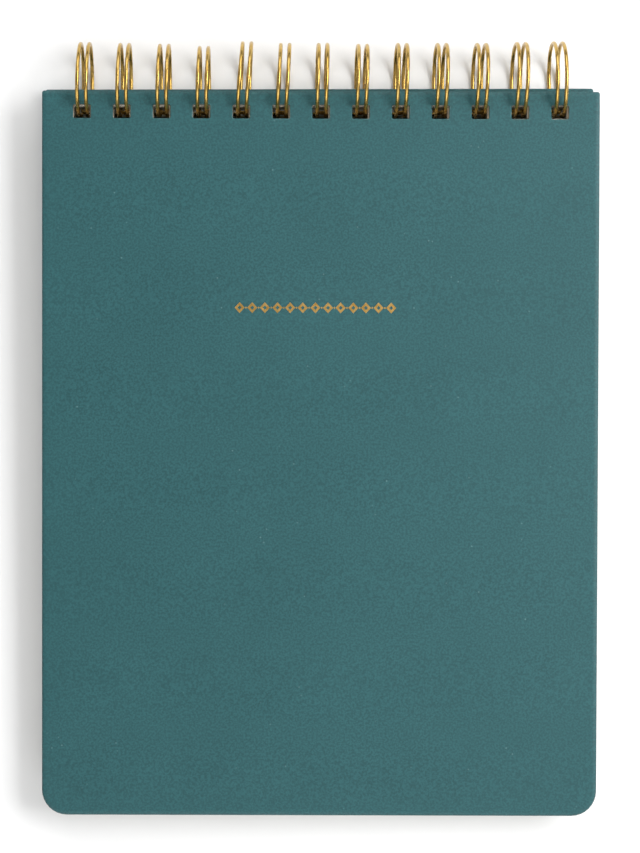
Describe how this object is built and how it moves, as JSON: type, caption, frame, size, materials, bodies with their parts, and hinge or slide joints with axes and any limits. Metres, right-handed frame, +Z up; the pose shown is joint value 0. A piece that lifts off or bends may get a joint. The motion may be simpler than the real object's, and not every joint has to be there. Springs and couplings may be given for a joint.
{
  "type": "wire-bound notebook",
  "caption": "Hardcover twin-loop wire-bound notebook: teal wrapped board covers, gold wire binding, punched ivory sheets that turn about the rings.",
  "frame": {"origin": "on the table, under the middle of the notebook's bounding box", "axes": "+X along the wire binding to the right, +Y from the free edge towards the binding, +Z up out of the front cover"},
  "size_m": [0.1784, 0.2486, 0.0246],
  "materials": {
    "cover_teal": "matte coated covering material, fine grain",
    "greyboard": "raw greyboard, seen only in the punched holes",
    "lining_paper": "smooth uncoated lining paper",
    "page_paper": "uncoated writing paper",
    "gold_wire": "bright gold-coloured wire",
    "gold_foil": "hot-stamped metallic foil"
  },
  "bodies": {
    "back_cover": {"back_wrap": "cover_teal", "back_board": "greyboard", "back_liner": "lining_paper"},
    "wire": {"binding_wire": "gold_wire"},
    "leaves_71_80": {"sheets_71_80": "page_paper"},
    "leaves_61_70": {"sheets_61_70": "page_paper"},
    "leaves_51_60": {"sheets_51_60": "page_paper"},
    "leaves_41_50": {"sheets_41_50": "page_paper"},
    "leaves_31_40": {"sheets_31_40": "page_paper"},
    "leaves_21_30": {"sheets_21_30": "page_paper"},
    "leaves_11_20": {"sheets_11_20": "page_paper"},
    "leaves_05_10": {"sheets_05_10": "page_paper"},
    "leaf_04": {"sheet_04": "page_paper"},
    "leaf_03": {"sheet_03": "page_paper"},
    "leaf_02": {"sheet_02": "page_paper"},
    "leaf_01": {"sheet_01": "page_paper"},
    "front_cover": {"front_wrap": "cover_teal", "front_board": "greyboard", "front_liner": "lining_paper", "foil_ornament": "gold_foil"}
  },
  "joints": [
    {"name": "wire_play", "type": "hinge", "parent": "back_cover", "child": "wire", "pos_m": [0, 0.112, 0.0123], "axis": [-1, 0, 0], "range_deg": [-0.7, 0.7]},
    {"name": "turn_leaves_71_80", "type": "hinge", "parent": "back_cover", "child": "leaves_71_80", "pos_m": [0, 0.112, 0.0123], "axis": [-1, 0, 0], "range_deg": [0, 180]},
    {"name": "turn_leaves_61_70", "type": "hinge", "parent": "leaves_71_80", "child": "leaves_61_70", "pos_m": [0, 0.112, 0.0123], "axis": [-1, 0, 0], "range_deg": [0, 180]},
    {"name": "turn_leaves_51_60", "type": "hinge", "parent": "leaves_61_70", "child": "leaves_51_60", "pos_m": [0, 0.112, 0.0123], "axis": [-1, 0, 0], "range_deg": [0, 180]},
    {"name": "turn_leaves_41_50", "type": "hinge", "parent": "leaves_51_60", "child": "leaves_41_50", "pos_m": [0, 0.112, 0.0123], "axis": [-1, 0, 0], "range_deg": [0, 180]},
    {"name": "turn_leaves_31_40", "type": "hinge", "parent": "leaves_41_50", "child": "leaves_31_40", "pos_m": [0, 0.112, 0.0123], "axis": [-1, 0, 0], "range_deg": [0, 180]},
    {"name": "turn_leaves_21_30", "type": "hinge", "parent": "leaves_31_40", "child": "leaves_21_30", "pos_m": [0, 0.112, 0.0123], "axis": [-1, 0, 0], "range_deg": [0, 180]},
    {"name": "turn_leaves_11_20", "type": "hinge", "parent": "leaves_21_30", "child": "leaves_11_20", "pos_m": [0, 0.112, 0.0123], "axis": [-1, 0, 0], "range_deg": [0, 180]},
    {"name": "turn_leaves_05_10", "type": "hinge", "parent": "leaves_11_20", "child": "leaves_05_10", "pos_m": [0, 0.112, 0.0123], "axis": [-1, 0, 0], "range_deg": [0, 180]},
    {"name": "turn_leaf_04", "type": "hinge", "parent": "leaves_05_10", "child": "leaf_04", "pos_m": [0, 0.112, 0.0123], "axis": [-1, 0, 0], "range_deg": [0, 180]},
    {"name": "turn_leaf_03", "type": "hinge", "parent": "leaf_04", "child": "leaf_03", "pos_m": [0, 0.112, 0.0123], "axis": [-1, 0, 0], "range_deg": [0, 180]},
    {"name": "turn_leaf_02", "type": "hinge", "parent": "leaf_03", "child": "leaf_02", "pos_m": [0, 0.112, 0.0123], "axis": [-1, 0, 0], "range_deg": [0, 180]},
    {"name": "turn_leaf_01", "type": "hinge", "parent": "leaf_02", "child": "leaf_01", "pos_m": [0, 0.112, 0.0123], "axis": [-1, 0, 0], "range_deg": [0, 180]},
    {"name": "turn_front_cover", "type": "hinge", "parent": "leaf_01", "child": "front_cover", "pos_m": [0, 0.112, 0.0123], "axis": [-1, 0, 0], "range_deg": [0, 225]}
  ]
}
